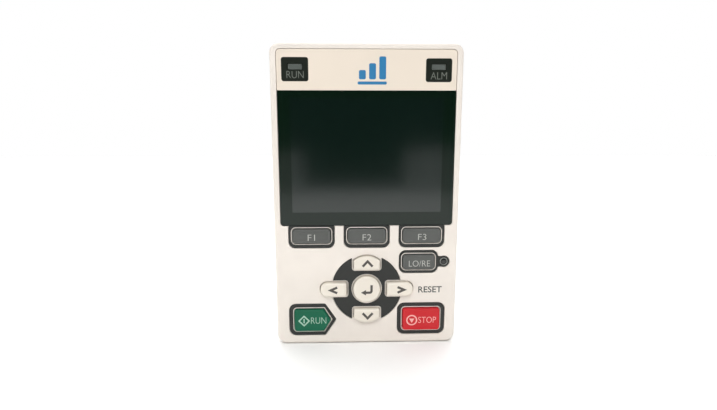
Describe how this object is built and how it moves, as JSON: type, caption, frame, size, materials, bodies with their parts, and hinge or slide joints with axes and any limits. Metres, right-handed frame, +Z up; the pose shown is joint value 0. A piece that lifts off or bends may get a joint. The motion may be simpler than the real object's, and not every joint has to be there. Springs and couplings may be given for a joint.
{
  "type": "drive operator keypad",
  "caption": "Flat hand-sized operator keypad for a variable frequency drive: wide display window above a press-key pad, with a stepped back that drops into a panel cut-out.",
  "frame": {"origin": "centre of the flat back face of the rear case", "axes": "+Z up along the keypad's length, -Y out of the front face towards the user, +X to the user's right"},
  "size_m": [0.065, 0.0186, 0.106],
  "materials": {
    "case_cream": "moulded ABS with a fine satin texture",
    "case_charcoal": "moulded ABS with a fine texture",
    "dark_trim": "satin moulded plastic",
    "key_grey": "satin moulded plastic with a printed legend",
    "key_white": "satin moulded plastic with a printed symbol",
    "key_green": "satin moulded plastic with a printed legend",
    "key_red": "satin moulded plastic with a printed legend",
    "lens_sheet": "hard-coated acrylic, printed on its back",
    "light_guide": "clear acrylic, frosted face",
    "lcd_glass": "display glass with polariser",
    "diffuser": "acrylic light guide",
    "holder_white": "moulded plastic",
    "rubber_mat": "moulded silicone",
    "circuit_board": "glass-epoxy laminate with solder mask",
    "flex_film": "polyimide film",
    "black_moulding": "moulded thermoplastic",
    "led_body": "cast resin",
    "label_film": "blank polyester film",
    "plated_steel": "zinc or nickel plated",
    "brass": "turned"
  },
  "bodies": {
    "case": {"front_case": "case_cream", "rear_case": "case_charcoal", "pad_disc": "dark_trim", "f1_bezel": "dark_trim", "f2_bezel": "dark_trim", "f3_bezel": "dark_trim", "local_remote_bezel": "dark_trim", "run_bezel": "dark_trim", "stop_bezel": "dark_trim", "key_mat": "rubber_mat", "display_lens": "lens_sheet", "lcd_glass": "lcd_glass", "backlight_panel": "diffuser", "lcd_holder": "holder_white", "lcd_flex": "flex_film", "flex_connector": "black_moulding", "main_board": "circuit_board", "processor": "black_moulding", "rj45_jack": "black_moulding", "usb_socket": "plated_steel", "run_light_pipe": "light_guide", "alarm_light_pipe": "light_guide", "remote_light_pipe": "light_guide", "run_led": "led_body", "alarm_led": "led_body", "remote_led": "led_body", "coin_cell": "plated_steel", "battery_contact_negative": "plated_steel", "battery_contact_positive": "plated_steel", "case_screw_1": "plated_steel", "case_screw_2": "plated_steel", "case_screw_3": "plated_steel", "case_screw_4": "plated_steel", "threaded_insert_1": "brass", "threaded_insert_2": "brass", "rating_label": "label_film"},
    "f1_button": {"f1_key": "key_grey"},
    "f2_button": {"f2_key": "key_grey"},
    "f3_button": {"f3_key": "key_grey"},
    "local_remote_button": {"local_remote_key": "key_grey"},
    "run_button": {"run_key": "key_green"},
    "stop_button": {"stop_key": "key_red"},
    "up_button": {"up_key": "key_white"},
    "down_button": {"down_key": "key_white"},
    "left_button": {"left_key": "key_white"},
    "right_button": {"right_key": "key_white"},
    "enter_button": {"enter_key": "key_white"},
    "battery_door": {"battery_cover": "case_charcoal"}
  },
  "joints": [
    {"name": "f1_press", "type": "slide", "parent": "case", "child": "f1_button", "axis": [0, 1, 0], "range_m": [0, 0.0006], "stiffness_N_per_m": 1500, "springref_m": -0.0006},
    {"name": "f2_press", "type": "slide", "parent": "case", "child": "f2_button", "axis": [0, 1, 0], "range_m": [0, 0.0006], "stiffness_N_per_m": 1500, "springref_m": -0.0006},
    {"name": "f3_press", "type": "slide", "parent": "case", "child": "f3_button", "axis": [0, 1, 0], "range_m": [0, 0.0006], "stiffness_N_per_m": 1500, "springref_m": -0.0006},
    {"name": "local_remote_press", "type": "slide", "parent": "case", "child": "local_remote_button", "axis": [0, 1, 0], "range_m": [0, 0.0006], "stiffness_N_per_m": 1500, "springref_m": -0.0006},
    {"name": "run_press", "type": "slide", "parent": "case", "child": "run_button", "axis": [0, 1, 0], "range_m": [0, 0.0006], "stiffness_N_per_m": 1500, "springref_m": -0.0006},
    {"name": "stop_press", "type": "slide", "parent": "case", "child": "stop_button", "axis": [0, 1, 0], "range_m": [0, 0.0006], "stiffness_N_per_m": 1500, "springref_m": -0.0006},
    {"name": "up_press", "type": "slide", "parent": "case", "child": "up_button", "axis": [0, 1, 0], "range_m": [0, 0.0006], "stiffness_N_per_m": 1500, "springref_m": -0.0006},
    {"name": "down_press", "type": "slide", "parent": "case", "child": "down_button", "axis": [0, 1, 0], "range_m": [0, 0.0006], "stiffness_N_per_m": 1500, "springref_m": -0.0006},
    {"name": "left_press", "type": "slide", "parent": "case", "child": "left_button", "axis": [0, 1, 0], "range_m": [0, 0.0006], "stiffness_N_per_m": 1500, "springref_m": -0.0006},
    {"name": "right_press", "type": "slide", "parent": "case", "child": "right_button", "axis": [0, 1, 0], "range_m": [0, 0.0006], "stiffness_N_per_m": 1500, "springref_m": -0.0006},
    {"name": "enter_press", "type": "slide", "parent": "case", "child": "enter_button", "axis": [0, 1, 0], "range_m": [0, 0.0006], "stiffness_N_per_m": 1500, "springref_m": -0.0006},
    {"name": "battery_door_slide", "type": "slide", "parent": "case", "child": "battery_door", "axis": [0, 0, 1], "range_m": [0, 0.03]}
  ]
}
